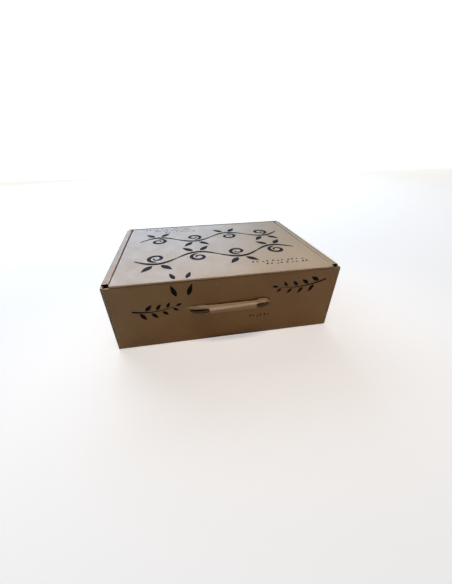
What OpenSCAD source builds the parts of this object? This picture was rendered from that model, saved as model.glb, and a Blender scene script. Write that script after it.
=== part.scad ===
// Corrugated carrying box with a hinged lid, rolled-over double side walls and a strap handle.
// The origin is the centre of the base underside. +X runs along the handle wall, +Y from the
// handle wall to the far wall, and +Z up. All sizes are in millimetres.

/* [Box] */
// Outside width, along the handle wall
box_w = 340; // [260:1:420]
// Outside depth, from the handle wall to the far wall
box_d = 250; // [200:1:320]
// Outside height
box_h = 110; // [90:1:150]

/* [Board] */
// Thickness of the corrugated board
board_t = 3; // [2:0.1:4]
// Outer radius of a scored fold
fold_r = 1.4; // [1:0.1:2]
// Gap between layers that lie face to face
layer_gap = 0.2; // [0.1:0.05:0.6]

/* [Rolled side walls] */
// How far behind the handle wall's outer face the rolled strips begin
strip_start = 8; // [6:0.5:16]
// How far short of the far wall's outer face the rolled strips end
strip_end = 6; // [5:0.5:16]
// Depth of the notch at each top corner of an outer side wall
notch_h = 2; // [1:0.5:8]
// How far the raw ends of the bottom and the outer side walls stay back from the cross walls' outer faces
end_back = 0.2; // [0:0.1:1]
// Length of a locking tab on an inner side wall
tab_l = 42; // [20:1:70]
// Distance from the middle of the box to the middle of each tab
tab_y = 62; // [40:1:75]
// Gap around a tab in its slot
tab_gap = 0.4; // [0.2:0.1:1]
// How far a tab stops above the surface that the box stands on
tab_lift = 0.4; // [0.2:0.1:1]

/* [Corner flaps] */
// Length of a corner flap along the side wall
flap_l = 96; // [60:1:98]
// How far a corner flap's top edge lies below the top of the box
flap_drop = 9; // [5:0.5:20]
// Length over which a corner flap's top edge slopes down to its fold
flap_slope_l = 18; // [8:1:30]
// Height of that slope
flap_slope_h = 30; // [10:1:50]

/* [Lid] */
// Gap between the lid and the rolled strips at the hinge fold
lid_gap = 1.2; // [0.3:0.1:1.5]
// How much each side of the lid draws in towards its far edge
lid_taper = 1.8; // [0:0.1:3]
// Gap at the hinge fold between the lid and the handle wall
hinge_gap = 0.3; // [0.2:0.05:0.6]
// Gap between the lid's far edge and the far wall
far_gap = 0.5; // [0.3:0.1:1.5]
// Depth of the lid's side flaps
side_flap_h = 52; // [30:1:60]
// How far the side flaps stay back from the handle wall and the far wall
side_flap_inset = 7; // [4:0.5:20]
// How far a side flap's lower corners are cut back
side_flap_slope = 14; // [5:1:30]
// Depth of the tuck flap below the lid's far fold
tuck_h = 40; // [25:1:48]
// Lean of the tuck flap away from the far wall, in degrees
tuck_lean = 6; // [6:0.5:12]
// How far each end of the tuck flap stays inside the side flaps
tuck_inset = 6; // [4:0.5:20]
// How far the tuck flap's lower corners are cut back
tuck_slope = 12; // [4:1:24]

/* [Handle] */
// Length of the strap from tip to tip
strap_l = 127; // [110:1:150]
// Width of the strap where it is cut from the wall
strap_w = 16; // [14:0.5:20]
// How far the strap's middle lies to the right of the middle of the box
strap_x = 2; // [-10:0.5:10]
// Height of the upper slit above the base
slit_z = 66.4; // [55:0.2:75]
// How much higher the crushed lower lip of the cut lies on the inside of the wall than on the outside
lip_rise = 2.6; // [0:0.2:3]
// Height of the cut's left tip above the base
tip_left_z = 64.4; // [58:0.2:65]
// Height of the cut's right tip above the base
tip_right_z = 60; // [56:0.2:65]
// How far the cut's upper edge rises above the slit towards its left tip
rise_left = 1; // [0:0.1:2]
// How far the cut's upper edge rises above the slit towards its right tip
rise_right = 2; // [0:0.1:3]
// Length of the folded grip in the middle of the strap
grip_l = 70; // [60:1:80]
// How far the grip's middle lies to the right of the strap's middle
grip_x = 4; // [-5:0.5:5]
// Width of the upper leaf between the slit and the crease, at the grip's left end
leaf_left_w = 7.6; // [6:0.1:9]
// Width of the upper leaf between the slit and the crease, at the grip's right end
leaf_right_w = 6.4; // [5.6:0.1:9]
// Swing of the upper leaf out of the wall at the grip's left end, in degrees
swing_left = 69; // [55:1:85]
// Swing of the upper leaf out of the wall at the grip's right end, in degrees
swing_right = 84; // [60:1:88]
// Lean of the lower leaf's foot away from the wall at the grip's left end, in degrees
lean_left = 2; // [-8:1:16]
// Lean of the lower leaf's foot away from the wall at the grip's right end, in degrees
lean_right = 14; // [-8:1:20]
// Width of the strap's left end beside the grip
end_left_w = 4.4; // [3.6:0.2:7]
// Width of the strap's right end beside the grip
end_right_w = 5.6; // [4:0.2:8]
// How far the grip's upper edge stands out of the wall
edge_out = 1; // [0.6:0.1:2]
// How far the grip's upper edge drops below the slit
edge_drop = 0.8; // [0.6:0.1:2]

/* [Print] */
// Thickness of the ink fields
ink_t = 0.15; // [0.1:0.05:0.3]
// Gap between the strokes of one ornament
ink_gap = 0.8; // [0.4:0.1:1.2]
// Length of a running vine
vine_l = 270; // [200:1:275]
// Height of a vine's waves
vine_a = 17; // [10:0.5:20]
// Width of a vine at its crests
vine_w = 6.5; // [2:0.5:7]
// Distance of each vine from the middle of the lid
vine_y = 44; // [38:1:48]
// Slope of the vines, in degrees
vine_turn = 3; // [-4:0.5:4]
// Radius of the curls
curl_r = 14; // [8:0.5:15]
// Length of the leaves over the crests
bud_l = 25; // [12:1:26]
// Length of the leaf spray on the left of the handle wall
spray_left_l = 62; // [40:1:70]
// Length of the leaf spray on the right of the handle wall
spray_right_l = 76; // [50:1:84]
// Length of the leaves on the sprays
spray_leaf_l = 16; // [8:1:18]
// Length of the two leaves on each side of the lid's fold
burst_l = 20; // [10:1:24]
// Distance between the grains of a row
grain_pitch = 8; // [6:0.5:10]
// Length of a grain
grain_l = 7; // [3:0.5:8]

/* [Hidden] */

// Faces of the box
half_w = box_w / 2;
half_d = box_d / 2;
inner_z = board_t + layer_gap;

// A rolled side wall holds three layers: outer wall, corner flap and inner wall
strip_w = 3 * board_t + 2 * layer_gap;
strip_in = half_w - strip_w;
slit_end = half_w - board_t - layer_gap;
flap_top = box_h - flap_drop;

// The lid turns about the middle of the board at the top of the handle wall
hinge_y = -half_d + board_t / 2;
hinge_z = box_h - board_t / 2;
wall_top = box_h - board_t - hinge_gap;
lid_half = strip_in - lid_gap;
lid_far = half_d - board_t - far_gap;
lid_len = lid_far - hinge_y;
taper_a = atan(lid_taper / lid_len);
side_flap_z = box_h - side_flap_h;
tuck_half = lid_half - lid_taper - board_t - tuck_inset;
side_flap_shoulder = 3;

// The tuck flap hangs from the lid's far fold, in this direction and with this inner side
fold_c = [lid_far - fold_r, box_h - fold_r];
tuck_down = [-sin(tuck_lean), -cos(tuck_lean)];
tuck_in = [-cos(tuck_lean), sin(tuck_lean)];
tuck_start = fold_c - fold_r * tuck_in;

// Strap: x range of the eye-shaped cut, of the grip, and the room that the cut needs at its ends
eye_l = strap_x - strap_l / 2;
eye_r = strap_x + strap_l / 2;
grip_lo = strap_x + grip_x - grip_l / 2;
grip_hi = strap_x + grip_x + grip_l / 2;
eye_low = slit_z - strap_w;
eye_run_left = 21;
eye_run_right = 16;
eye_run_top = 9;
eye_step = 3;

// A strap end's values at its tip: width, share of it above the tip of the cut, how far it stands out,
// its gap to the cut's upper edge, and how far its root reaches into the wall and how thin it gets there
tip_w = 2.6;
tip_over = 0.4;
tip_out = 0.5;
tip_gap = 0.5;
root = 4;
root_skin = 0.5;

// Length over which a strap end widens into the grip's two leaves
grip_step = 0.6;

// Where the sprays begin, their stems at the thick end, and where the fold leaves lie
spray_side = 32;
spray_stem_w = 2.6;
burst_x = -66;

// Steps: segments of a quarter fold, stations of a strap end, steps of an eye corner
fold_n = 6;
loft_n = 10;
grip_n = 5;
eye_n = 8;
cut = 1;

kraft = "#b08d62";
kraft_light = "#b9976c";
ink = "#231f1f";

// Points of an arc about a centre, from one angle to another
function arc(c, r, a0, a1, n) = [for (i = [0:n]) c + r * [cos(a0 + (a1 - a0) * i / n), sin(a0 + (a1 - a0) * i / n)]];

// The same points mirrored across the first axis, in reverse, to close a symmetric outline
function mirrored(pts) = [for (i = [len(pts) - 1:-1:0]) [-pts[i][0], pts[i][1]]];

// Extrude an outline of x and z points along Y
module along_y(y0, y1)
    translate([0, y1, 0])
        rotate([90, 0, 0])
            linear_extrude(y1 - y0)
                children();

// Extrude an outline of y and z points along X
module along_x(x0, x1)
    translate([x0, 0, 0])
        rotate([90, 0, 90])
            linear_extrude(x1 - x0)
                children();

// A box between two corners
module block(lo, hi)
    translate(lo)
        cube(hi - lo);

// Children as drawn and mirrored to the other side of the box
module both_sides() {
    children();
    mirror([1, 0, 0])
        children();
}

// Section through the bottom, the outer side walls, the rolled strips and the inner side walls
module wrap_outline() {
    right = concat(
        [[half_w - fold_r, 0]],
        arc([half_w - fold_r, fold_r], fold_r, -90, 0, fold_n),
        arc([half_w - fold_r, box_h - fold_r], fold_r, 0, 90, fold_n),
        arc([strip_in + fold_r, box_h - fold_r], fold_r, 90, 180, fold_n),
        [
            [strip_in, inner_z],
            [strip_in + board_t, inner_z],
            [strip_in + board_t, box_h - board_t],
            [half_w - board_t, box_h - board_t],
            [half_w - board_t, board_t]
        ]
    );
    polygon(concat(right, mirrored(right)));
}

// Room cut from one rolled side wall at the end that lies from y0 to y1
module strip_cut(y0, y1) {
    block([strip_in - cut, y0, inner_z - layer_gap / 2], [half_w - board_t, y1, box_h + cut]);
    block([half_w - board_t - cut, y0, box_h - notch_h], [half_w + cut, y1, box_h + cut]);
}

// One locking tab of an inner side wall, or with a gap around it its slot in the bottom
module tab(z0, z1, gap = 0)
    block([strip_in - gap, -tab_l / 2 - gap, z0], [strip_in + board_t + gap, tab_l / 2 + gap, z1]);

// Bottom and double side walls, with their slots and tabs
module wrap() {
    difference() {
        along_y(-half_d + end_back, half_d - end_back)
            wrap_outline();
        both_sides() {
            strip_cut(-half_d - cut, -half_d + strip_start);
            strip_cut(half_d - strip_end, half_d + cut);
            for (y = [-tab_y, tab_y])
                translate([0, y, 0])
                    tab(-cut, board_t + layer_gap / 2, tab_gap);
        }
    }
    both_sides()
        for (y = [-tab_y, tab_y])
            translate([0, y, 0])
                tab(tab_lift, inner_z + cut);
}

// A cross wall with its two corner flaps, seen from above, for the wall at -Y
module cross_wall_plan() {
    y = -half_d;
    right = concat(
        arc([slit_end - fold_r, y + fold_r], fold_r, -90, 0, fold_n),
        [
            [slit_end, y + flap_l],
            [slit_end - board_t, y + flap_l],
            [slit_end - board_t, y + board_t]
        ]
    );
    polygon(concat(right, mirrored(right)));
}

// The cross wall's own panel, seen from above
module cross_panel_plan() {
    y = -half_d;
    right = concat(
        arc([slit_end - fold_r, y + fold_r], fold_r, -90, 0, fold_n),
        [[slit_end, y + board_t]]
    );
    polygon(concat(right, mirrored(right)));
}

// Material over the slope of one corner flap's top edge, beside its fold
module flap_slope_cut()
    along_x(slit_end - board_t - layer_gap / 2, slit_end + layer_gap / 2)
        polygon([
            [-half_d + board_t, flap_top - flap_slope_h],
            [-half_d + board_t + flap_slope_l, flap_top + cut],
            [-half_d + board_t, flap_top + cut]
        ]);

// One cross wall at -Y, from the base to the top of the box
module cross_wall() {
    linear_extrude(box_h)
        cross_panel_plan();
    difference() {
        translate([0, 0, inner_z])
            linear_extrude(flap_top - inner_z)
                cross_wall_plan();
        both_sides()
            flap_slope_cut();
    }
}

// Material outside the rounded fold along the base at -Y
module base_fold_cut()
    along_x(-half_w - cut, half_w + cut)
        polygon(concat(
            [[-half_d - cut, -cut], [-half_d + fold_r, -cut]],
            arc([-half_d + fold_r, fold_r], fold_r, 270, 180, fold_n),
            [[-half_d - cut, fold_r]]
        ));

// A corner of the eye-shaped cut: a quarter of an ellipse from its tip
function eye_corner(tip, run, rise) = [
    for (i = [0:eye_n])
        tip + [run * (1 - cos(90 * i / eye_n)), rise * sin(90 * i / eye_n)]
];

// The last points of a list, in reverse, without the first point
function back(pts) = [for (i = [len(pts) - 1:-1:1]) pts[i]];

// Outline of the eye-shaped cut, with its lower lip at one height
function eye_outline(low) =
    let (tip_l = [eye_l, tip_left_z], tip_r = [eye_r, tip_right_z])
    concat(
        eye_corner(tip_l, eye_run_left, low - tip_left_z),
        back(eye_corner(tip_r, -eye_run_right, low - tip_right_z)),
        eye_corner(tip_r, -eye_run_top, slit_z + rise_right - tip_right_z),
        [
            [grip_hi, slit_z + rise_right],
            [grip_hi - eye_step, slit_z],
            [grip_lo + eye_step, slit_z],
            [grip_lo, slit_z + rise_left]
        ],
        back(eye_corner(tip_l, eye_run_top, slit_z + rise_left - tip_left_z))
    );

// The eye-shaped cut that frees the strap from the handle wall, with a lip that rises inwards
module eye()
    loft([
        for (y = [board_t + cut, -cut])
            [for (p = eye_outline(eye_low + lip_rise * y / board_t)) [p[0], y - half_d, p[1]]]
    ]);

// Section of the upper leaf, as points of distance out of the wall and height: a slab that hangs
// from its upper edge at angle a, is w wide and t thick, and has a round lower edge
function leaf_section(edge, a, w, t) =
    let (along = [sin(a), -cos(a)], outward = [cos(a), sin(a)])
    let (nose = edge + w * along - t / 2 * outward)
    concat(
        [edge],
        arc(nose, t / 2, a, a - 180, fold_n + 3),
        [edge - t * outward]
    );

// The same section, thinner by a skin on every side
function thin_section(edge, a, w, t, skin) =
    leaf_section(edge + skin * [sin(a) - cos(a), -cos(a) - sin(a)], a, w - skin, t - 2 * skin);

// Section of the grip: the upper leaf at angle a, the round crease, and the lower leaf, whose foot
// leans away from the wall by angle b
function grip_section(a, b, w) =
    let (t = board_t, along = [sin(a), -cos(a)], outward = [cos(a), sin(a)])
    let (edge = [edge_out, slit_z - edge_drop], nose = edge + w * along - t / 2 * outward)
    let (down = [sin(b), -cos(b)], face = [cos(b), sin(b)], drop_w = strap_w - w - t)
    let (inside = nose - t / 2 * (outward + face) / (1 + outward * face))
    concat(
        [edge],
        arc(nose, t / 2, a, b, fold_n),
        [
            nose + t / 2 * face + drop_w * down,
            nose - t / 2 * face + drop_w * down,
            inside,
            edge - t * outward
        ]
    );

// Place a section's points at one x, out of the handle wall
function at_x(x, pts) = [for (p = pts) [x, -half_d - p[0], p[1]]];

// A solid skin over outlines of equal length that follow each other
module loft(rings) {
    n = len(rings[0]);
    last = len(rings) - 1;
    walls = [
        for (r = [0:last - 1], i = [0:n - 1])
            let (a = r * n + i, b = r * n + (i + 1) % n)
            each [[a, b + n, b], [a, a + n, b + n]]
    ];
    ends = [
        [for (i = [0:n - 1]) i],
        [for (i = [n - 1:-1:0]) last * n + i]
    ];
    polyhedron([for (r = rings) each r], concat(walls, ends));
}

// Upper edge of a strap end at share v of the way from its tip to the grip
function end_edge(v, tip_z, rise) =
    let (up = sin(90 * min(1, v * 3)), low = tip_z + tip_over * tip_w, high = slit_z + rise - tip_gap)
    [
        tip_out + (edge_out - tip_out) * v,
        low + (high - low) * up - (rise + edge_drop - tip_gap) * pow(v, 6)
    ];

// Section of a strap end at share v
function end_section(v, tip_z, rise, swing, w) = leaf_section(
    end_edge(v, tip_z, rise),
    swing * sin(90 * v),
    tip_w + (w - tip_w) * sin(90 * min(1, v * 2)),
    board_t
);

// Sections of a strap end, from its root in the wall to just short of the grip
function end_rings(x_tip, x_grip, tip_z, rise, swing, w) =
    let (side = sign(x_grip - x_tip), run = x_grip - side * grip_step - x_tip)
    concat(
        [at_x(x_tip - side * root, thin_section(end_edge(0, tip_z, rise), 0, tip_w, board_t, root_skin))],
        [
            for (i = [0:loft_n])
                at_x(x_tip + run * i / loft_n, end_section(i / loft_n, tip_z, rise, swing, w))
        ]
    );

// Sections of the grip, from left to right
function grip_rings() = [
    for (i = [0:grip_n])
        let (s = i / grip_n)
        at_x(grip_lo + grip_l * s, grip_section(
            swing_left + (swing_right - swing_left) * s,
            lean_left + (lean_right - lean_left) * s,
            leaf_left_w + (leaf_right_w - leaf_left_w) * s
        ))
];

// The same list in reverse
function reversed(list) = [for (i = [len(list) - 1:-1:0]) list[i]];

// The carrying strap, joined to the wall at both tips
module strap()
    loft(concat(
        end_rings(eye_l, grip_lo, tip_left_z, rise_left, swing_left, end_left_w),
        grip_rings(),
        reversed(end_rings(eye_r, grip_hi, tip_right_z, rise_right, swing_right, end_right_w))
    ));

// The folded sheet without its lid
module tray() color(kraft) {
    difference() {
        union() {
            wrap();
            cross_wall();
            mirror([0, 1, 0])
                cross_wall();
        }
        base_fold_cut();
        mirror([0, 1, 0])
            base_fold_cut();
        block(
            [-slit_end - layer_gap / 2, -half_d - cut, wall_top],
            [slit_end + layer_gap / 2, -half_d + board_t + cut, box_h + cut]
        );
        eye();
    }
    strap();
}

// Outline of the lid's panel from the side: the hinge bead, the panel and the far fold
module panel_outline()
    polygon(concat(
        arc([hinge_y, hinge_z], board_t / 2, 270, 90, 2 * fold_n),
        arc(fold_c, fold_r, 90, -tuck_lean, fold_n),
        [tuck_start + (tuck_start[1] - box_h + board_t) / cos(tuck_lean) * tuck_down]
    ));

// Outer edge of the lid at one y, on the right
function side_x(y) = lid_half - (y - hinge_y) * lid_taper / lid_len;

// The lid's panel seen from above
module panel_plan() {
    y0 = hinge_y - board_t;
    y1 = lid_far + board_t;
    polygon([[-side_x(y0), y0], [side_x(y0), y0], [side_x(y1), y1], [-side_x(y1), y1]]);
}

// One side flap of the lid, up to the middle of the panel
module side_flap() {
    y0 = hinge_y + side_flap_inset;
    y1 = lid_far - side_flap_inset;
    intersection() {
        linear_extrude(hinge_z)
            polygon([[side_x(y0), y0], [side_x(y1), y1], [side_x(y1) - board_t, y1], [side_x(y0) - board_t, y0]]);
        along_x(0, half_w)
            polygon([
                [y1, box_h],
                [y1, box_h - board_t - side_flap_shoulder],
                [y1 - side_flap_slope, side_flap_z],
                [y0 + side_flap_slope, side_flap_z],
                [y0, box_h - board_t - side_flap_shoulder],
                [y0, box_h]
            ]);
    }
}

// Material outside the rounded fold along the lid's right edge
module edge_fold_cut()
    translate([lid_half, hinge_y, 0])
        rotate([0, 0, taper_a])
            along_y(-3 * board_t, lid_len + 3 * board_t)
                polygon(concat(
                    [[cut, box_h - fold_r]],
                    arc([-fold_r, box_h - fold_r], fold_r, 0, 90, fold_n),
                    [[-fold_r, box_h + cut], [cut, box_h + cut]]
                ));

// The tuck flap, with its lower corners cut back
module tuck_flap()
    difference() {
        along_x(-tuck_half, tuck_half)
            polygon([
                tuck_start,
                tuck_start + tuck_h * tuck_down,
                tuck_start + tuck_h * tuck_down + board_t * tuck_in,
                tuck_start + board_t * tuck_in
            ]);
        both_sides()
            along_y(lid_far - tuck_h, lid_far + cut)
                polygon([
                    [tuck_half - tuck_slope, box_h - fold_r - tuck_h - cut],
                    [tuck_half + cut, box_h - 2 * board_t],
                    [tuck_half + cut, box_h - fold_r - tuck_h - cut]
                ]);
    }

// The lid: panel, two side flaps and tuck flap
module lid() color(kraft_light) {
    difference() {
        union() {
            intersection() {
                along_x(-half_w, half_w)
                    panel_outline();
                linear_extrude(box_h + cut)
                    panel_plan();
            }
            both_sides()
                side_flap();
        }
        both_sides()
            edge_fold_cut();
    }
    tuck_flap();
}

// A leaf from the origin along +X: two shallow curves that meet at its tip
module leaf(l, w, steps = 8)
    polygon(concat(
        [for (i = [0:steps]) [l * i / steps, w / 2 * sin(180 * pow(i / steps, 0.8))]],
        [for (i = [steps - 1:-1:1]) [l * i / steps, -w / 2 * sin(180 * pow(i / steps, 0.8))]]
    ));

// A brush stroke along a line of points, each with a direction and half a width
module stroke(mid, dir, half)
    polygon(concat(
        [for (i = [0:len(mid) - 1]) mid[i] + half[i] * [-sin(dir[i]), cos(dir[i])]],
        [for (i = [len(mid) - 1:-1:0]) mid[i] - half[i] * [-sin(dir[i]), cos(dir[i])]]
    ));

// Point on a stem that leaves the origin at heading h and turns by b over its length l
function stem_at(l, h, b, s) = l / (b * PI / 180) * [sin(h + b * s) - sin(h), cos(h) - cos(h + b * s)];

// A leaf spray: a stem that thins out and turns, with leaves on alternate sides
module leaf_spray(l, h, b, stem_w, leaves, leaf_l) {
    steps = 12;
    stroke(
        [for (i = [0:steps]) stem_at(l, h, b, i / steps)],
        [for (i = [0:steps]) h + b * i / steps],
        [for (i = [0:steps]) stem_w / 2 * (1 - 0.85 * i / steps)]
    );
    for (k = [1:leaves]) {
        s = (k + 0.4) / (leaves + 1);
        turn = k % 2 == 0 ? 1 : -1;
        size = leaf_l * (1 - 0.45 * s);
        translate(stem_at(l, h, b, s) + turn * (stem_w / 2 + ink_gap) * [-sin(h + b * s), cos(h + b * s)])
            rotate(h + b * s + turn * 48)
                leaf(size, size * 0.42);
    }
    translate(stem_at(l, h, b, 1) + ink_gap * [cos(h + b), sin(h + b)])
        rotate(h + b)
            leaf(leaf_l * 0.6, leaf_l * 0.24);
}

// A curl that starts at the top of a circle below the origin and winds in, thick at first
module curl(r, w, steps = 22)
    stroke(
        [for (i = [0:steps]) [0, -r] + r * (1 - 0.72 * i / steps) * [sin(470 * i / steps), cos(470 * i / steps)]],
        [for (i = [0:steps]) -470 * i / steps],
        [for (i = [0:steps]) w / 2 * (0.35 + 0.65 * sin(180 * pow(i / steps, 0.55)))]
    );

// A running vine along X, with a curl under each crest and two leaves over it
module vine(l, a, crests, w) {
    steps = 12 * crests;
    at = function(s) [l * (s - 0.5), a * sin(180 * crests * s)];
    dir = function(s) atan(a * PI * crests * cos(180 * crests * s) / l);
    stroke(
        [for (i = [0:steps]) at(i / steps)],
        [for (i = [0:steps]) dir(i / steps)],
        [for (i = [0:steps]) w / 2 * (0.4 + 0.6 * abs(sin(180 * crests * i / steps)))]
    );
    for (k = [0:crests - 1])
        translate(at((k + 0.5) / crests))
            mirror([0, k % 2, 0]) {
                translate([0, -w - ink_gap])
                    curl(curl_r, w);
                for (side = [-1, 1])
                    translate([side * w, w / 2 + 2 * ink_gap])
                        rotate(90 - side * 40)
                            leaf(bud_l, bud_l * 0.4);
            }
}

// A row of grains that lean by turns
module grain_row(n, pitch, l)
    for (i = [0:n - 1])
        translate([(i - (n - 1) / 2) * pitch, 0])
            rotate(65 + 30 * sin(137 * i))
                leaf(l * (0.75 + 0.25 * cos(97 * i)), l * 0.42, 4);

// Rows of grains, each a little shorter than the one before and shifted to one side
module grain_field(rows, n)
    for (row = [0:rows - 1])
        translate([1.5 * grain_pitch * row, -1.2 * grain_pitch * row])
            grain_row(n - 2 * row, grain_pitch, grain_l);

// Two leaves side by side that point along +Y and lean apart
module leaf_pair()
    for (side = [-1, 1])
        translate([side * burst_l * 0.4, 0])
            rotate(90 - side * 20)
                leaf(burst_l, burst_l * 0.34);

// The running vines, grains and fold leaves on the lid
module lid_print() color(ink)
    translate([0, 0, box_h])
        linear_extrude(ink_t) {
            translate([0, vine_y])
                rotate(vine_turn)
                    vine(vine_l, vine_a, 4, vine_w);
            translate([0, -vine_y])
                rotate(vine_turn)
                    mirror([1, 0])
                        vine(vine_l, vine_a, 4, vine_w);
            translate([-half_w / 2, half_d - 2.4 * grain_pitch])
                grain_field(3, 12);
            translate([half_w / 2, -half_d + 4.4 * grain_pitch])
                grain_field(2, 11);
            translate([burst_x, -half_d + board_t + 2 * ink_gap])
                leaf_pair();
        }

// Leaf sprays, fold leaves and grains on the handle wall, clear of the strap
module wall_print() color(ink)
    along_y(-half_d - ink_t, -half_d) {
        translate([-half_w + spray_side, slit_z])
            leaf_spray(spray_left_l, -14, 34, spray_stem_w, 7, spray_leaf_l);
        translate([half_w - 0.6 * spray_side, wall_top - spray_leaf_l])
            leaf_spray(spray_right_l, 202, -34, spray_stem_w, 8, spray_leaf_l);
        translate([burst_x, wall_top - burst_l - 2 * ink_gap])
            leaf_pair();
        translate([grip_hi + grain_pitch, eye_low - 2 * grain_pitch])
            grain_row(6, 0.75 * grain_pitch, 0.75 * grain_l);
    }

tray();
lid();
lid_print();
wall_print();
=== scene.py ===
# %% [markdown]
# A carrying box of corrugated board, folded from one sheet
#
# The construction is already solid geometry: a tray with rolled side walls and a strap
# handle, a lid on its fold, and thin fields of ink. This lesson dresses it. The board gets
# a kraft paper surface that is rubbed pale at its folds and given a painted highlight there,
# the raw edges get their flutes, and the ink gets a matt, slightly uneven black.

# %% Load the solid parts and keep their box
import math

import bmesh
import bpy
from mathutils import Matrix, Vector


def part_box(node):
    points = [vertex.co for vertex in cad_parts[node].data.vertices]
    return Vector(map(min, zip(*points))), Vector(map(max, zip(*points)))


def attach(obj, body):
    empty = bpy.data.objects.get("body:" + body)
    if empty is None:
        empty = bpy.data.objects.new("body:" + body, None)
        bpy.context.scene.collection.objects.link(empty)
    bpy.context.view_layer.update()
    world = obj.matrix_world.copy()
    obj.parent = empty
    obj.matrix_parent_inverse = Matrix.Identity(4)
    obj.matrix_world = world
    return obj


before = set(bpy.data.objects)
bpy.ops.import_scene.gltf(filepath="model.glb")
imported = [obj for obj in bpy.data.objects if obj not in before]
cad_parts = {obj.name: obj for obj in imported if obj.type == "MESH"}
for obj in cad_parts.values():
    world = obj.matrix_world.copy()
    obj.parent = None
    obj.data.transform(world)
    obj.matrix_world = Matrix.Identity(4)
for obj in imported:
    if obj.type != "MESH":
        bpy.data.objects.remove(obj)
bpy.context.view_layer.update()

MM = 0.001
print("nodes:", sorted(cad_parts))

# %% [markdown]
# Sizes that the finish needs
#
# The outside of the box can be read from the solids, so it is. The few sizes that belong to
# the board itself are written here: three millimetres thick, with a wave of paper
# between two liners that repeats every six and a half millimetres.

# %% Read the box and name the board's own sizes
BOARD = 3.0 * MM
LAYER_GAP = 0.2 * MM
FLUTE_PITCH = 6.5 * MM
LINER = 0.6 * MM
HALF_W, HALF_D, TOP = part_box("tray")[1]
STRIP = 3 * BOARD + 2 * LAYER_GAP
print("box, mm:", round(2 * HALF_W / MM), "x", round(2 * HALF_D / MM), "x", round(TOP / MM))

# %% [markdown]
# A small kit for node materials
#
# Every finish here is a graph of nodes, so the same three moves come back all the time:
# make a node, set its inputs, and join it to the next one. They could be written out each
# time, but a short class keeps each material readable. Numbers that are the same all over a
# surface are typed into the shader's own sockets.

# %% The material kit
class Finish:
    def __init__(self, name, rough, specular=0.35):
        self.material = bpy.data.materials.new(name)
        self.material.use_nodes = True
        self.tree = self.material.node_tree
        self.shader = self.tree.nodes["Principled BSDF"]
        self.shader.inputs["Roughness"].default_value = rough
        self.shader.inputs["Specular IOR Level"].default_value = specular
        place = self.tree.nodes.new("ShaderNodeTexCoord")
        self.place = place.outputs["Object"]
        self.facing = place.outputs["Normal"]

    def node(self, kind, inputs=(), **settings):
        made = self.tree.nodes.new(kind)
        for key, value in settings.items():
            setattr(made, key, value)
        for key, value in dict(inputs).items():
            self.give(made.inputs[key], value)
        return made

    def give(self, socket, value):
        if isinstance(value, bpy.types.NodeSocket):
            self.tree.links.new(value, socket)
        else:
            socket.default_value = value

    def math(self, operation, a, b=0.0, c=0.0):
        made = self.node("ShaderNodeMath", {0: a, 1: b, 2: c}, operation=operation)
        return made.outputs[0]

    def noise(self, scale, detail, rough, stretch=(1, 1, 1)):
        moved = self.node("ShaderNodeMapping", {"Vector": self.place, "Scale": stretch})
        made = self.node(
            "ShaderNodeTexNoise",
            {"Vector": moved.outputs[0], "Scale": scale, "Detail": detail, "Roughness": rough},
        )
        return made.outputs["Fac"]

    def ramp(self, value, low, high, out_low=0.0, out_high=1.0):
        made = self.node(
            "ShaderNodeMapRange",
            {"Value": value, "From Min": low, "From Max": high, "To Min": out_low, "To Max": out_high},
            interpolation_type="SMOOTHSTEP",
        )
        return made.outputs["Result"]

    def mix(self, share, a, b):
        made = self.node("ShaderNodeMix", data_type="RGBA")
        self.give(made.inputs["Factor"], share)
        self.give(made.inputs["A"], a)
        self.give(made.inputs["B"], b)
        return made.outputs["Result"]

    def axes(self, vector):
        return self.node("ShaderNodeSeparateXYZ", {"Vector": vector}).outputs

    def bump(self, height, distance, strength, under=None):
        made = self.node("ShaderNodeBump", {"Height": height, "Distance": distance, "Strength": strength})
        if under is not None:
            self.give(made.inputs["Normal"], under)
        return made.outputs["Normal"]

    def finish(self, colour, normal=None, rough=None):
        self.give(self.shader.inputs["Base Color"], colour)
        if normal is not None:
            self.give(self.shader.inputs["Normal"], normal)
        if rough is not None:
            self.give(self.shader.inputs["Roughness"], rough)
        return self.material


def rgb(red, green, blue):
    return (red, green, blue, 1.0)


print("material kit ready")

# %% [markdown]
# Kraft liner
#
# The paper on the outside of the board is unbleached kraft. From close by it shows three
# things: clouds where the pulp was thicker, short dark and pale fibres that lie along the
# machine direction, and a faint washboard where the liner sinks between the flutes. A
# picture of paper, wrapped round the box, would show seams and repeat itself. Layers of
# noise, stretched along the fibres, do neither, and keep one scale on every face. They read
# position and facing alone, so the finish stays put when the lid moves.

# %% Colour the pulp and its fibres
DARK_FIBRE = rgb(0.16, 0.095, 0.045)
PALE_FIBRE = rgb(0.72, 0.56, 0.36)
FACES_SIDEWAYS = 0.7


def flute_wave(paper, across, side):
    """A sine across the flutes: over Z on the side walls, and over X everywhere else."""
    on_side_wall = paper.math("GREATER_THAN", side[0], FACES_SIDEWAYS)
    over_flutes = paper.node(
        "ShaderNodeMix", {"Factor": on_side_wall, "A": across[0], "B": across[2]}, data_type="FLOAT"
    ).outputs["Result"]
    return paper.math("SINE", paper.math("MULTIPLY", over_flutes, 2 * math.pi / FLUTE_PITCH))


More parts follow.
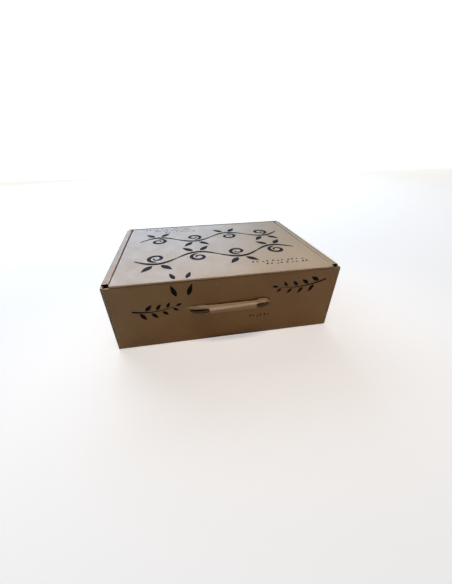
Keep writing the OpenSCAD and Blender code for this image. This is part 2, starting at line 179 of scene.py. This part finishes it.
def pulp(paper, clouds, blotch, along_y, wave, pale, deep):
    """Clouds and blotches of pulp, long fibres, the washboard, and dark and pale flecks."""
    washboard = paper.math("MULTIPLY_ADD", wave, 0.5, 0.5)
    flecks = paper.ramp(paper.noise(1300, 2, 0.5, (1.0, 0.22, 0.7)), 0.64, 0.74)
    pale_flecks = paper.ramp(paper.noise(1100, 2, 0.5, (0.25, 1.0, 0.7)), 0.64, 0.76)

    colour = paper.mix(paper.ramp(clouds, 0.3, 0.7), deep, pale)
    colour = paper.mix(paper.ramp(blotch, 0.35, 0.75, 0.0, 0.35), colour, deep)
    colour = paper.mix(paper.ramp(along_y, 0.4, 0.7, 0.0, 0.25), colour, pale)
    colour = paper.mix(paper.ramp(washboard, 0.0, 1.0, 0.0, 0.07), colour, deep)
    colour = paper.mix(paper.math("MULTIPLY", flecks, 0.4), colour, DARK_FIBRE)
    return paper.mix(paper.math("MULTIPLY", pale_flecks, 0.3), colour, PALE_FIBRE)


def liner_relief(paper, clouds, along_y, wave):
    """Fibres, washboard and clouds as a very shallow relief."""
    fibres = paper.noise(900, 2, 0.5, (1.0, 0.22, 0.5))
    grain = paper.bump(fibres, 0.06 * MM, 0.5)
    grain = paper.bump(along_y, 0.1 * MM, 0.45, grain)
    grain = paper.bump(wave, 0.05 * MM, 0.5, grain)
    return paper.bump(clouds, 0.9 * MM, 0.35, grain)


print("flutes in the width of the box:", round(2 * HALF_W / FLUTE_PITCH))

# %% [markdown]
# Folds and the strap: wear, painted light and painted highlights
#
# Paper breaks where it is folded, and broken fibres are paler. The folds here are painted
# paler still, as a painted highlight where their rounded edges catch the light. Each fold
# could be given a material of its own by hand. But a fold of this box always faces between
# the box's main directions, so its facing finds it. The strap faces every way, so its place
# finds it instead: nothing else stands in front of the handle wall. It is painted paler than
# the wall all over, partly for wear from hands and partly as painted light where it stands
# out into the light from above. Its crease is palest, a painted highlight along a straight
# line through two points.

# %% Find the folds, the strap and its crease
FLAT, FOLDED = 0.995, 0.93
STRAP_BEGINS, STRAP_SURE = -125.3 * MM, -126.2 * MM
CREASE_LEFT = (-29 * MM, -132.6 * MM, 61.5 * MM)
CREASE_RIGHT = (41 * MM, -132.2 * MM, 63.4 * MM)
CREASE_WIDE, CREASE_NARROW = 2.6 * MM, 1.5 * MM
# Painted light: the strap's colour is paler than the wall, partly handling wear, partly the light it
# catches out in front of the wall; the crease colour is a painted highlight.
STRAP_WEAR_AND_PAINTED_LIGHT = rgb(0.66, 0.49, 0.31)
CREASE_PAINTED_HIGHLIGHT = rgb(0.92, 0.79, 0.6)


def along_crease(axis):
    """Slope and offset of the crease's height or depth over X."""
    slope = (CREASE_RIGHT[axis] - CREASE_LEFT[axis]) / (CREASE_RIGHT[0] - CREASE_LEFT[0])
    return slope, CREASE_LEFT[axis] - slope * CREASE_LEFT[0]


def on_strap(paper, across):
    """One on the strap, and nought on everything behind the face of the handle wall."""
    return paper.ramp(across[1], STRAP_BEGINS, STRAP_SURE)


# Painted highlight: folds are mixed toward the pale fold colour, partly real wear of broken fibres,
# partly standing for light on their rounded edges.
def paint_fold_wear_and_highlight(paper, across, side, colour, fold):
    patchy = paper.ramp(paper.noise(120, 4, 0.7), 0.3, 0.6, 0.35, 1.0)
    flattest = paper.math("MAXIMUM", paper.math("MAXIMUM", side[0], side[1]), side[2])
    folded = paper.math("SUBTRACT", paper.ramp(flattest, FLAT, FOLDED), on_strap(paper, across))
    wear_and_highlight_share = paper.math("MULTIPLY", paper.math("MAXIMUM", folded, 0.0), patchy)
    return paper.mix(wear_and_highlight_share, colour, fold)


# Painted light over the whole strap, and a painted highlight along its crease.
def paint_strap_light_and_crease_highlight(paper, across, colour):
    colour = paper.mix(paper.math("MULTIPLY", on_strap(paper, across), 0.6), colour, STRAP_WEAR_AND_PAINTED_LIGHT)
    away = [
        paper.math("SUBTRACT", across[axis], paper.math("MULTIPLY_ADD", across[0], *along_crease(axis)))
        for axis in (1, 2)
    ]
    squared = [paper.math("MULTIPLY", part, part) for part in away]
    distance = paper.math("SQRT", paper.math("ADD", *squared))
    crease = paper.ramp(distance, CREASE_WIDE, CREASE_NARROW)
    return paper.mix(paper.math("MULTIPLY", crease, 0.9), colour, CREASE_PAINTED_HIGHLIGHT)


print("crease slope over X:", [round(along_crease(axis)[0], 4) for axis in (1, 2)])

# %% [markdown]
# Two papers from one recipe
#
# The liner was pressed smooth on the paper machine, so it shines a little in a low light
# from behind. Lid and tray are the same sheet, so their two colour sets are lit and shaded
# copies of one paper: the lid's is painted paler and greyer as painted light, for the bright
# cool light on top, and the tray's darker and redder as painted shade on its walls. Two
# separate recipes would soon drift apart, so one function makes both papers, and only the
# colours differ.

# %% Mix the papers of the tray and the lid
LINER_ROUGH, LINER_SHINE = 0.53, 0.55


def kraft_liner(name, pale, deep, fold):
    paper = Finish(name, LINER_ROUGH, LINER_SHINE)
    across = paper.axes(paper.place)
    side = [paper.math("ABSOLUTE", part) for part in paper.axes(paper.facing)]
    wave = flute_wave(paper, across, side)
    clouds = paper.noise(14, 5, 0.6)
    blotch = paper.noise(55, 4, 0.6)
    along_y = paper.noise(260, 3, 0.6, (1.0, 0.16, 1.0))

    colour = pulp(paper, clouds, blotch, along_y, wave, pale, deep)
    colour = paint_fold_wear_and_highlight(paper, across, side, colour, fold)
    colour = paint_strap_light_and_crease_highlight(paper, across, colour)
    rough = paper.ramp(blotch, 0.3, 0.7, LINER_ROUGH - 0.05, LINER_ROUGH + 0.07)
    return paper.finish(colour, liner_relief(paper, clouds, along_y, wave), rough)


# Painted shade and painted light: the tray gets a darker, redder shaded copy of the kraft colours, and
# the lid a paler, greyer lit copy.
tray_paper_painted_shade = kraft_liner(
    "kraft_liner_tray_painted_shade", rgb(0.48, 0.295, 0.125), rgb(0.40, 0.24, 0.098), rgb(0.62, 0.45, 0.26)
)
lid_paper_painted_light = kraft_liner(
    "kraft_liner_lid_painted_light", rgb(0.54, 0.38, 0.21), rgb(0.47, 0.32, 0.17), rgb(0.64, 0.48, 0.3)
)
print("kraft liners:", tray_paper_painted_shade.name, lid_paper_painted_light.name)

# %% [markdown]
# Ink
#
# The box is printed with one dark ink by a soft printing plate. Such ink sinks into the
# liner: it is matt, never quite even, and the fibres show through it. A plain black would
# look like tape. So one noise stands for the pressure of the plate, and a finer one for the
# spots where the plate ran short of ink.

# %% Make the ink
def printed_ink(name):
    ink = Finish(name, 0.85, 0.1)
    starved = ink.ramp(ink.noise(640, 3, 0.6, (1.0, 0.3, 1.0)), 0.58, 0.74, 0.0, 0.5)
    pressure = ink.ramp(ink.noise(60, 4, 0.6), 0.3, 0.75)
    colour = ink.mix(pressure, rgb(0.012, 0.011, 0.013), rgb(0.028, 0.024, 0.026))
    colour = ink.mix(starved, colour, rgb(0.085, 0.062, 0.045))
    grain = ink.bump(ink.noise(900, 2, 0.5, (1.0, 0.22, 0.5)), 0.05 * MM, 0.5)
    return ink.finish(colour, grain, ink.ramp(pressure, 0.0, 1.0, 0.78, 0.92))


ink = printed_ink("printed_ink")
print("ink:", ink.name)

# %% [markdown]
# Dress the solids
#
# The solid tray, lid and ink fields have the right shape already. They could be rebuilt as
# softer meshes, but folded board is crisp, so they only need the finishes. Each one's
# material slots are filled.

# %% Give the solids their finishes
def dress(node, material):
    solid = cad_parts[node]
    solid.data.materials.clear()
    solid.data.materials.append(material)


dress("tray", tray_paper_painted_shade)
dress("lid", lid_paper_painted_light)
dress("lid_print", ink)
dress("wall_print", ink)
print("dressed:", len(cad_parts), "solids")

# %% [markdown]
# Raw edges with flutes
#
# Where the knife crossed the flutes, the edge shows the wave of paper between two liners,
# with dark holes under each crest. It could be painted on, but a painted edge goes flat in
# a low light. So each edge gets thin bars of real mesh: two liners, a wave between them,
# and a dark sheet behind. All bars of one piece are gathered into one mesh.

# %% A mesh of bars
CUT_KIND, SHADE_KIND = 0, 1


class EdgeMesh:
    def __init__(self):
        self.points, self.faces, self.kinds = [], [], []

    def bar(self, rings, kind):
        """A closed bar through rings of equally many points."""
        base, wide = len(self.points), len(rings[0])
        for ring in rings:
            self.points.extend(tuple(p) for p in ring)
        faces = [tuple(range(base + wide - 1, base - 1, -1))]
        for r in range(len(rings) - 1):
            low = base + r * wide
            for c in range(wide):
                d = (c + 1) % wide
                faces.append((low + c, low + d, low + wide + d, low + wide + c))
        faces.append(tuple(range(base + (len(rings) - 1) * wide, base + len(rings) * wide)))
        self.faces.extend(faces)
        self.kinds.extend([kind] * len(faces))

    def build(self, name, materials, body):
        mesh = bpy.data.meshes.new(name)
        mesh.from_pydata(self.points, [], self.faces)
        for material in materials:
            mesh.materials.append(material)
        mesh.polygons.foreach_set("material_index", self.kinds)
        mesh.update()
        solid = bmesh.new()
        solid.from_mesh(mesh)
        bmesh.ops.recalc_face_normals(solid, faces=solid.faces)
        solid.to_mesh(mesh)
        solid.free()
        piece = bpy.data.objects.new(name, mesh)
        bpy.context.scene.collection.objects.link(piece)
        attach(piece, body)
        print(name + ":", len(mesh.polygons), "faces")


print("kinds of edge paper: cut", CUT_KIND, "and shade", SHADE_KIND)

# %% [markdown]
# Lines over an edge
#
# An edge is given as two paths, near and far, one along each liner, so a curved or slanted
# cut works too. A line runs over the edge from one path to the other at any place along
# it. Each ring of a bar stands on such a line, with its root just inside the board so that
# no gap shows under it.

# %% Find a line over the edge, and stand a ring on it
BAR_OUT = 0.14 * MM
BAR_ROOT = -0.04 * MM


def shifted(path, across):
    """The path along the other liner, one board away."""
    return [tuple(Vector(p) + Vector(across) * BOARD) for p in path]


def edge_line(near, far, outward, k, share):
    """Start of a line over the edge, its direction and length, and the way out of the board.

    outward points roughly away from the board, so that the bars stand on the cut.
    """
    point = near[k].lerp(near[k + 1], share)
    over = far[k].lerp(far[k + 1], share) - point
    ahead = (near[k + 1] - near[k]).normalized()
    if share == 0 and k > 0:
        ahead += (near[k] - near[k - 1]).normalized()
    out = over.cross(ahead).normalized()
    if out.dot(Vector(outward)) < 0:
        out = -out
    return point, over.normalized(), over.length, out


def ring_on(line, low, high, top):
    """Four corners of a bar's section, between low and high along the line."""
    point, across, _, out = line
    return [
        point + across * low + out * BAR_ROOT,
        point + across * low + out * top,
        point + across * high + out * top,
        point + across * high + out * BAR_ROOT,
    ]


print("bars stand out by, mm:", round(BAR_OUT / MM, 2))

# %% [markdown]
# The wave and the whole edge
#
# The fluting paper runs as a sine between the liners. A bar of even width would look thin
# where the wave is steep, so the bar widens with the slope and keeps the paper's own
# thickness. Four bars then make a whole edge.

# %% A builder for fluted edges
SHADE_OUT = 0.03 * MM
WAVE_T = 0.52 * MM
WAVE_OVERLAP = 0.7 * WAVE_T
WAVE_OUT = 0.85 * BAR_OUT
WAVE_STEPS = 12


def wave_rings(near, far, outward, near_liner):
    rings, run = [], 0.0
    last = len(near) - 1
    for k in range(last):
        length = (near[k + 1] - near[k]).length
        steps = max(1, round(length / FLUTE_PITCH * WAVE_STEPS))
        for i in range(steps + (k == last - 1)):
            line = edge_line(near, far, outward, k, i / steps)
            turn = 2 * math.pi * (run + length * i / steps) / FLUTE_PITCH
            swing = (line[2] - LINER - near_liner - WAVE_OVERLAP) / 2
            middle = (line[2] - LINER + near_liner) / 2 + swing * math.sin(turn)
            slope = swing * 2 * math.pi / FLUTE_PITCH * math.cos(turn)
            half = WAVE_T / 2 * math.sqrt(1 + slope * slope)
            rings.append(ring_on(line, middle - half, middle + half, WAVE_OUT))
        run += length
    return rings


def fluted_edge(edge, near, far, outward, near_liner=LINER, liner_kind=CUT_KIND):
    """Bars along a cut edge, between the paths near and far along its two liners.

    A crushed edge shows more of its near liner, and a shaded one has liners as dark as its flutes.
    """
    near, far = [Vector(p) for p in near], [Vector(p) for p in far]
    last = len(near) - 1
    lines = [edge_line(near, far, outward, k, 0) for k in range(last)]
    lines.append(edge_line(near, far, outward, last - 1, 1))
    edge.bar([ring_on(at, LINER / 2, at[2] - LINER / 2, SHADE_OUT) for at in lines], SHADE_KIND)
    edge.bar([ring_on(at, 0, near_liner, BAR_OUT) for at in lines], liner_kind)
    edge.bar([ring_on(at, at[2] - LINER, at[2], BAR_OUT) for at in lines], liner_kind)
    edge.bar(wave_rings(near, far, outward, near_liner), liner_kind)


print("flute pitch, mm:", round(FLUTE_PITCH / MM, 1))

# %% [markdown]
# The paper of the raw edge
#
# A fresh cut shows the paper's core. It is paler than the liner, and a little fuzzy. Behind
# it, the inside of a flute gets almost no light. The holes could be left open, but at this
# scale a deep warm brown sheet reads the same and keeps the mesh small.

# %% Make the edge papers
def cut_paper(name):
    paper = Finish(name, 0.9, 0.15)
    fuzz = paper.noise(1400, 3, 0.7)
    colour = paper.mix(paper.ramp(fuzz, 0.3, 0.7), rgb(0.74, 0.6, 0.4), rgb(0.9, 0.79, 0.58))
    return paper.finish(colour, paper.bump(fuzz, 0.08 * MM, 0.7))


def flute_shade(name):
    shade = Finish(name, 0.95, 0.05)
    depth = shade.noise(300, 3, 0.6)
    colour = shade.mix(shade.ramp(depth, 0.3, 0.7), rgb(0.03, 0.018, 0.01), rgb(0.075, 0.047, 0.027))
    return shade.finish(colour, shade.bump(depth, 0.1 * MM, 0.6))


edge_papers = [cut_paper("cut_paper"), flute_shade("flute_shade")]
print("edge papers:", [m.name for m in edge_papers])

# %% [markdown]
# Which edges are cut across the flutes
#
# The flutes run from the handle wall to the far wall through the lid and the bottom, so
# they stand upright in the two cross walls. That settles where the holes show: on the ends
# of the side walls and rolled strips, on the top of the far wall, on the corner flaps'
# tops, and on the lower lip of the handle cut. The tops of the strips' ends lie in the dark
# of the corner gaps, so theirs are dark all over. Left and right, and near and far, follow
# one rule, so two loops make them.

# %% Edges of the tray
STRIP_START = 8 * MM
STRIP_END = 6 * MM
STRIP_FOOT = BOARD + 1 * MM
NOTCH = 2 * MM
END_BACK = 0.2 * MM
FLAP_TOP = TOP - 9 * MM
SLOPE_L, SLOPE_H = 18 * MM, 30 * MM
FLAP_LENGTH = 96 * MM
FOLD_R = 1.4 * MM
near_y = -HALF_D
strip_in = HALF_W - STRIP
slit_end = HALF_W - BOARD - LAYER_GAP
UP = (0, 0, 1)

# Underside and top of a strip's raw end: distance from the middle, and depth below the top
CORNER, ROUNDING = 0.4 * MM, 0.42 * MM
STRIP_UNDER = [
    (strip_in + CORNER, BOARD), (strip_in + FOLD_R, BOARD), (HALF_W - BOARD, BOARD),
    (HALF_W - FOLD_R, NOTCH), (HALF_W - CORNER, NOTCH),
]
STRIP_OVER = [
    (strip_in + CORNER, ROUNDING), (strip_in + FOLD_R, 0.0), (HALF_W - BOARD, 0.0),
    (HALF_W - FOLD_R, 0.0), (HALF_W - CORNER, ROUNDING),
]

tray_edges = EdgeMesh()
for side in (-1, 1):
    over = (side, 0, 0)
    for y, way in ((near_y, -1), (HALF_D, 1)):
        # Raw upright end of an outer side wall
        x, end_y = side * (HALF_W - BOARD), y - way * END_BACK
        path = [(x, end_y, FOLD_R), (x, end_y, TOP - NOTCH)]
        fluted_edge(tray_edges, path, shifted(path, over), (0, way, 0))

        # Raw end of a rolled strip: its inner wall and its top
        x, end_y = side * strip_in, y - way * (STRIP_START if way < 0 else STRIP_END)
        path = [(x, end_y, STRIP_FOOT), (x, end_y, TOP - BOARD)]
        fluted_edge(tray_edges, path, shifted(path, over), (0, way, 0))
        under = [(side * x, end_y, TOP - drop) for x, drop in STRIP_UNDER]
        over_top = [(side * x, end_y, TOP - drop) for x, drop in STRIP_OVER]
        fluted_edge(tray_edges, under, over_top, (0, way, 0), liner_kind=SHADE_KIND)

        # Top of a corner flap, with its slope beside the fold
        x, inside_y = side * (slit_end - BOARD), y - way * BOARD
        path = [
            (x, inside_y, FLAP_TOP - SLOPE_H),
            (x, inside_y - way * SLOPE_L, FLAP_TOP),
            (x, y - way * FLAP_LENGTH, FLAP_TOP),
        ]
        fluted_edge(tray_edges, path, shifted(path, over), UP)

# Top of the far wall
path = [(slit_end - FOLD_R, HALF_D, TOP), (FOLD_R - slit_end, HALF_D, TOP)]
fluted_edge(tray_edges, path, shifted(path, (0, -1, 0)), UP)
print("tray edges so far:", len(tray_edges.faces), "faces")

# %% [markdown]
# The lower lip of the handle cut
#
# The strap is freed by an eye-shaped cut. Its lower lip is crushed into a slope that catches
# the light from above, and the flutes show in it as a row of dark dashes. The same outline
# as in the solid is worked out again from its driving sizes, once on each face of the wall.

# %% Edges of the handle cut
EYE_LEFT, EYE_RIGHT = -61.5 * MM, 65.5 * MM
EYE_LOW = 50.4 * MM
LIP_RISE = 2.6 * MM
TIP_LEFT_Z, TIP_RIGHT_Z = 64.4 * MM, 60 * MM
RUN_LEFT, RUN_RIGHT = 21 * MM, 16 * MM
CORNER_STEPS = 8
CRUSHED_LINER = 2.6 * LINER


def lip(y, low):
    """Lower lip of the cut on one face of the wall: from the left tip to the right tip."""
    def corner(tip_x, tip_z, run):
        turns = [math.pi / 2 * i / CORNER_STEPS for i in range(1, CORNER_STEPS + 1)]
        return [(tip_x + run * (1 - math.cos(t)), y, tip_z + (low - tip_z) * math.sin(t)) for t in turns]

    return corner(EYE_LEFT, TIP_LEFT_Z, RUN_LEFT) + corner(EYE_RIGHT, TIP_RIGHT_Z, -RUN_RIGHT)[::-1]


lip_inside, lip_outside = lip(near_y + BOARD, EYE_LOW + LIP_RISE), lip(near_y, EYE_LOW)
fluted_edge(tray_edges, lip_inside, lip_outside, UP, near_liner=CRUSHED_LINER)
tray_edges.build("tray_raw_edges", edge_papers, "tray")
print("handle lip, mm:", round((EYE_RIGHT - EYE_LEFT) / MM))

# %% [markdown]
# The raw edges of the lid
#
# The lid's flutes run from the hinge to its far fold and on down the tuck flap. So holes
# show along the tuck flap's lower edge and on both slanted ends of each side flap. They are
# only seen when the lid is open, but an open box is looked at from exactly there. These
# bars ride on the lid, so they are a piece of their own.

# %% Edges of the lid
LID_GAP, LID_TAPER, FAR_GAP = 1.2 * MM, 1.8 * MM, 0.5 * MM
SIDE_FLAP_Z = TOP - 52 * MM
SIDE_INSET, SIDE_SLOPE, SHOULDER = 7 * MM, 14 * MM, 3 * MM
TUCK_H, TUCK_LEAN, TUCK_INSET, TUCK_SLOPE = 40 * MM, math.radians(6), 6 * MM, 11.6 * MM
hinge_y = near_y + BOARD / 2
lid_half, lid_far = strip_in - LID_GAP, HALF_D - BOARD - FAR_GAP


def lid_side(y):
    """Outer edge of the lid on the right, which draws in towards the far side."""
    return lid_half - (y - hinge_y) * LID_TAPER / (lid_far - hinge_y)


lid_edges = EdgeMesh()
for side in (-1, 1):
    for y, way in ((hinge_y + SIDE_INSET, -1), (lid_far - SIDE_INSET, 1)):
        ends = [(y, TOP - BOARD - SHOULDER), (y - way * SIDE_SLOPE, SIDE_FLAP_Z)]
        path = [(side * (lid_side(end_y) - BOARD), end_y, z) for end_y, z in ends]
        fluted_edge(lid_edges, path, shifted(path, (side, 0, 0)), (0, way, 0))

down = Vector((0, -math.sin(TUCK_LEAN), -math.cos(TUCK_LEAN)))
inward = Vector((0, -math.cos(TUCK_LEAN), math.sin(TUCK_LEAN)))
tuck_foot = Vector((0, lid_far - FOLD_R, TOP - FOLD_R)) - FOLD_R * inward + TUCK_H * down
tuck_x = lid_half - LID_TAPER - BOARD - TUCK_INSET - TUCK_SLOPE
path = [tuck_foot + Vector((x, 0, 0)) for x in (-tuck_x, tuck_x)]
fluted_edge(lid_edges, path, shifted(path, inward), down)
lid_edges.build("lid_raw_edges", edge_papers, "lid")

# %% [markdown]
# The camera
#
# The box is seen from close by with a wide lens, from the front left and above. A camera
# could be aimed by eye, but a wide lens shows each small error at the corners of a box. So
# its place was worked out from those corners and is written in metres, with the lens set so
# that the long side of a 452 by 584 picture fits.

# %% Place the camera
IMAGE_W, IMAGE_H = 452, 584
SENSOR_MM = 36
FOCAL_PX = 237.3
PRINCIPAL = (218.83, 296.87)
CAMERA_PLACE = (-0.06147, -0.40968, 0.26401)
AZIMUTH, ELEVATION, ROLL = math.radians(-9.44), math.radians(32.88), math.radians(-0.72)
CLIP_NEAR, CLIP_FAR = 0.01, 20

camera_data = bpy.data.cameras.new("view")
camera = bpy.data.objects.new("view", camera_data)
bpy.context.scene.collection.objects.link(camera)
bpy.context.scene.camera = camera

back = Vector((
    math.sin(AZIMUTH) * math.cos(ELEVATION),
    -math.cos(AZIMUTH) * math.cos(ELEVATION),
    math.sin(ELEVATION),
))
level = back.cross(Vector((0, 0, -1))).normalized()
up = back.cross(level)
right = level * math.cos(ROLL) + up * math.sin(ROLL)
up = back.cross(right)
camera.rotation_mode = "QUATERNION"
camera.rotation_quaternion = Matrix((right, up, back)).transposed().to_quaternion()
camera.location = CAMERA_PLACE
camera_data.sensor_width = SENSOR_MM
camera_data.lens = SENSOR_MM * FOCAL_PX / IMAGE_H
camera_data.shift_x = (IMAGE_W / 2 - PRINCIPAL[0]) / IMAGE_H
camera_data.shift_y = (PRINCIPAL[1] - IMAGE_H / 2) / IMAGE_H
camera_data.clip_start, camera_data.clip_end = CLIP_NEAR, CLIP_FAR
print("lens, mm:", round(camera_data.lens, 2))

# %% [markdown]
# Floor and backdrop
#
# The box stands on a pale floor in a pale room, but its handle wall is dark. A bright room
# would light that wall too. So the floor and the room are bright to the eye and shed little
# light, by the kind of ray that meets them. The backdrop sheds what it shows.

# %% Set the floor, the backdrop and the room
FLOOR_LEFT, FLOOR_RIGHT = -5, 5
FLOOR_FRONT, FLOOR_BACK = -4, 2.2
BACKDROP_TOP = 4
FLOOR_SEEN, FLOOR_FELT = 0.5, 0.04
ROOM_SEEN, ROOM_FELT = 0.95, 0.004


def sheet(name, corners, material):
    mesh = bpy.data.meshes.new(name)
    mesh.from_pydata(corners, [], [(0, 1, 2, 3)])
    mesh.materials.append(material)
    made = bpy.data.objects.new(name, mesh)
    bpy.context.scene.collection.objects.link(made)


def seen_or_felt(tree, seen, felt):
    """A strength that the eye sees as one value while the light that it sheds has another."""
    ray = tree.nodes.new("ShaderNodeLightPath")
    pick = tree.nodes.new("ShaderNodeMapRange")
    pick.inputs["To Min"].default_value = felt
    pick.inputs["To Max"].default_value = seen
    tree.links.new(ray.outputs["Is Camera Ray"], pick.inputs["Value"])
    return pick.outputs["Result"]


def lit_paper(name, base, colour, seen, felt):
    paper = Finish(name, 0.9, 0.1)
    paper.shader.inputs["Emission Color"].default_value = colour
    paper.give(paper.shader.inputs["Emission Strength"], seen_or_felt(paper.tree, seen, felt))
    return paper.finish(base)


sheet(
    "floor",
    [
        (FLOOR_LEFT, FLOOR_FRONT, 0), (FLOOR_RIGHT, FLOOR_FRONT, 0),
        (FLOOR_RIGHT, FLOOR_BACK, 0), (FLOOR_LEFT, FLOOR_BACK, 0),
    ],
    lit_paper("pale_floor", rgb(0.8, 0.74, 0.66), rgb(1.0, 1.0, 1.0), FLOOR_SEEN, FLOOR_FELT),
)
sheet(
    "backdrop",
    [
        (FLOOR_LEFT, FLOOR_BACK, 0), (FLOOR_RIGHT, FLOOR_BACK, 0),
        (FLOOR_RIGHT, FLOOR_BACK, BACKDROP_TOP), (FLOOR_LEFT, FLOOR_BACK, BACKDROP_TOP),
    ],
    lit_paper("lit_backdrop", rgb(0.8, 0.8, 0.8), rgb(0.97, 0.98, 1.0), 1.0, 1.0),
)

world = bpy.data.worlds.new("soft_room")
bpy.context.scene.world = world
world.use_nodes = True
surround = world.node_tree.nodes["Background"]
surround.inputs["Color"].default_value = rgb(1.0, 0.97, 0.94)
room_light = seen_or_felt(world.node_tree, ROOM_SEEN, ROOM_FELT)
world.node_tree.links.new(room_light, surround.inputs["Strength"])
print("floor, m:", FLOOR_RIGHT - FLOOR_LEFT, "wide and", round(FLOOR_BACK - FLOOR_FRONT, 1), "deep")

# %% [markdown]
# Lamps
#
# The lid lies in cool, broad light from behind, and the handle wall is in its own shade. A
# large soft lamp low behind the box gives the lid its long pale shine. A narrow lamp over
# the handle wall picks out the strap's upper leaf, and a weak warm one at the front right
# keeps the wall readable. The lamps are hidden from the camera, so none shows in a view
# from another side.

# %% Hang the lamps
def lamp(name, place, target, size, power, colour, spread=180):
    data = bpy.data.lights.new(name, "AREA")
    data.shape = "RECTANGLE"
    data.size, data.size_y = size
    data.energy = power
    data.color = colour
    data.spread = math.radians(spread)
    made = bpy.data.objects.new(name, data)
    made.visible_camera = False
    made.location = place
    made.rotation_mode = "QUATERNION"
    made.rotation_quaternion = (Vector(target) - Vector(place)).to_track_quat("-Z", "Y")
    bpy.context.scene.collection.objects.link(made)


lamp("back_softbox", (-0.55, 1.7, 0.95), (0, 0, 0.05), (2.5, 1.1), 47, (0.5, 0.68, 0.97))
lamp("top_strip", (0.0, -0.16, 1.0), (0, -0.16, 0), (0.6, 0.12), 0.22, (1.0, 0.88, 0.8), 40)
lamp("warm_fill", (0.9, -0.7, 0.28), (0, 0, 0.05), (0.7, 0.6), 0.84, (1.0, 0.46, 0.1))
bpy.context.scene.view_settings.view_transform = "Standard"
